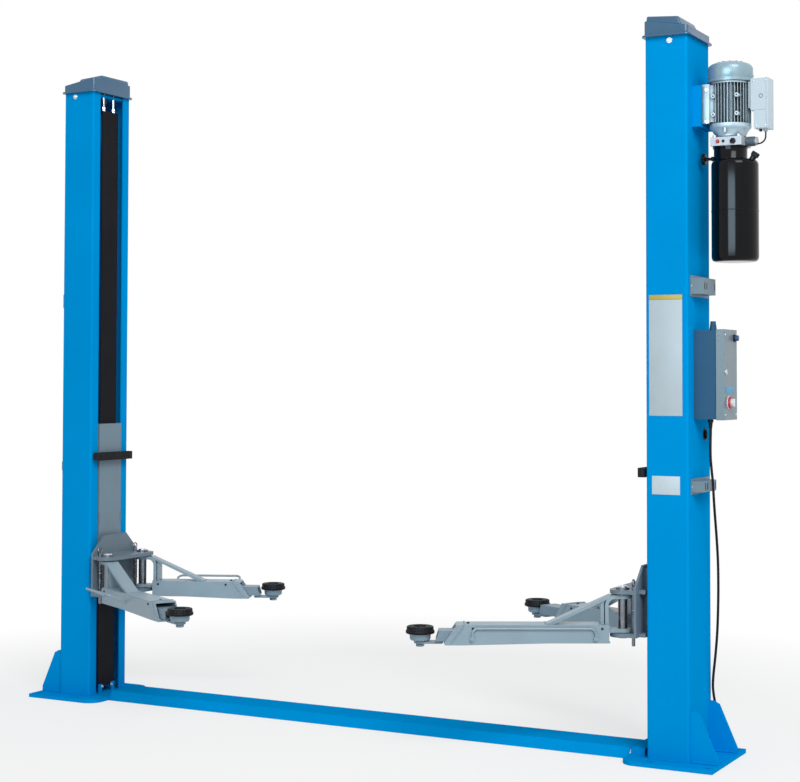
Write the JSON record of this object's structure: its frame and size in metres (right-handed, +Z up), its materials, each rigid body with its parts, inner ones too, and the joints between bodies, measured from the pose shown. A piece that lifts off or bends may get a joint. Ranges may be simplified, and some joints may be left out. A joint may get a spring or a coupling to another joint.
{
  "type": "two post car lift",
  "caption": "Floor plate car lift: channel columns with base plates, coupled carriages with swinging telescopic arms and rubber pads, and a hydraulic power unit.",
  "frame": {"origin": "on the floor, midway between the two columns", "axes": "+X from the left column to the right one, +Y to the back, +Z up"},
  "size_m": [3.443, 1.0853, 2.8849],
  "materials": {
    "column": "gloss",
    "cap": "satin",
    "lock_cover": "satin",
    "belt": "matte",
    "head": "satin",
    "motor": "satin",
    "terminal_box": "matte",
    "pump_block": "satin",
    "oil_tank": "gloss",
    "black_plastic": "matte",
    "box_body": "satin",
    "box_door": "satin",
    "switch_red": "gloss",
    "button_blue": "gloss",
    "cable": "matte",
    "carriage": "satin",
    "arm": "satin",
    "pin": "polished",
    "rubber": "matte"
  },
  "bodies": {
    "frame": {"left_column": "column", "left_base": "column", "left_cap": "cap", "left_lock_covers": "lock_cover", "left_belt": "belt", "left_head": "head", "right_column": "column", "right_base": "column", "right_cap": "cap", "right_lock_covers": "lock_cover", "right_belt": "belt", "right_head": "head", "floor_cover": "column", "unit_bracket": "column", "motor": "motor", "fan_cowl": "motor", "terminal_box": "terminal_box", "pump_block": "pump_block", "oil_tank": "oil_tank", "filler_cap": "black_plastic", "valve_knob": "black_plastic", "control_box": "box_body", "control_door": "box_door", "main_switch": "switch_red", "start_button": "button_blue", "cable_glands": "black_plastic", "down_cable": "cable", "motor_lead": "cable"},
    "left_lift": {"left_carriage": "carriage", "left_bracket": "carriage", "left_door_guard": "rubber", "left_pins": "pin", "left_lock_rods": "pin"},
    "right_lift": {"right_carriage": "carriage", "right_bracket": "carriage", "right_door_guard": "rubber", "right_pins": "pin", "right_lock_rods": "pin"},
    "right_front_swing": {"right_front_arm": "arm"},
    "right_front_slide": {"right_front_extension": "arm"},
    "right_front_top": {"right_front_pad": "arm", "right_front_rubber": "rubber"},
    "right_back_swing": {"right_back_arm": "arm"},
    "right_back_slide": {"right_back_extension": "arm"},
    "right_back_top": {"right_back_pad": "arm", "right_back_rubber": "rubber"},
    "left_front_swing": {"left_front_arm": "arm"},
    "left_front_slide": {"left_front_extension": "arm"},
    "left_front_top": {"left_front_pad": "arm", "left_front_rubber": "rubber"},
    "left_back_swing": {"left_back_arm": "arm"},
    "left_back_slide": {"left_back_extension": "arm"},
    "left_back_top": {"left_back_pad": "arm", "left_back_rubber": "rubber"}
  },
  "joints": [
    {"name": "left_carriage_lift", "type": "slide", "parent": "frame", "child": "left_lift", "axis": [0, 0, 1], "range_m": [-0.38, 1.4]},
    {"name": "right_carriage_lift", "type": "slide", "parent": "frame", "child": "right_lift", "axis": [0, 0, 1], "range_m": [-0.38, 1.4]},
    {"name": "right_front_swing", "type": "hinge", "parent": "right_lift", "child": "right_front_swing", "pos_m": [1.251, -0.13, 0.55], "axis": [0, 0, 1], "range_deg": [-28, 62]},
    {"name": "right_front_extend", "type": "slide", "parent": "right_front_swing", "child": "right_front_slide", "axis": [-0.8829, -0.4695, 0], "range_m": [0, 0.27]},
    {"name": "right_front_pad_height", "type": "slide", "parent": "right_front_slide", "child": "right_front_top", "axis": [0, 0, 1], "range_m": [0, 0.03]},
    {"name": "right_back_swing", "type": "hinge", "parent": "right_lift", "child": "right_back_swing", "pos_m": [1.251, 0.13, 0.55], "axis": [0, 0, -1], "range_deg": [-27, 63]},
    {"name": "right_back_extend", "type": "slide", "parent": "right_back_swing", "child": "right_back_slide", "axis": [-0.891, 0.454, 0], "range_m": [-0.07, 0.12]},
    {"name": "right_back_pad_height", "type": "slide", "parent": "right_back_slide", "child": "right_back_top", "axis": [0, 0, 1], "range_m": [0, 0.03]},
    {"name": "left_front_swing", "type": "hinge", "parent": "left_lift", "child": "left_front_swing", "pos_m": [-1.251, -0.13, 0.55], "axis": [0, 0, -1], "range_deg": [-30, 60]},
    {"name": "left_front_extend", "type": "slide", "parent": "left_front_swing", "child": "left_front_slide", "axis": [0.866, -0.5, 0], "range_m": [0, 0.26]},
    {"name": "left_front_pad_height", "type": "slide", "parent": "left_front_slide", "child": "left_front_top", "axis": [0, 0, 1], "range_m": [0, 0.03]},
    {"name": "left_back_swing", "type": "hinge", "parent": "left_lift", "child": "left_back_swing", "pos_m": [-1.251, 0.13, 0.55], "axis": [0, 0, 1], "range_deg": [-24, 66]},
    {"name": "left_back_extend", "type": "slide", "parent": "left_back_swing", "child": "left_back_slide", "axis": [0.9135, 0.4067, 0], "range_m": [0, 0.19]},
    {"name": "left_back_pad_height", "type": "slide", "parent": "left_back_slide", "child": "left_back_top", "axis": [0, 0, 1], "range_m": [0, 0.03]}
  ],
  "couplings": [
    {"joint": "right_carriage_lift", "follows": "left_carriage_lift", "ratio": 1}
  ]
}
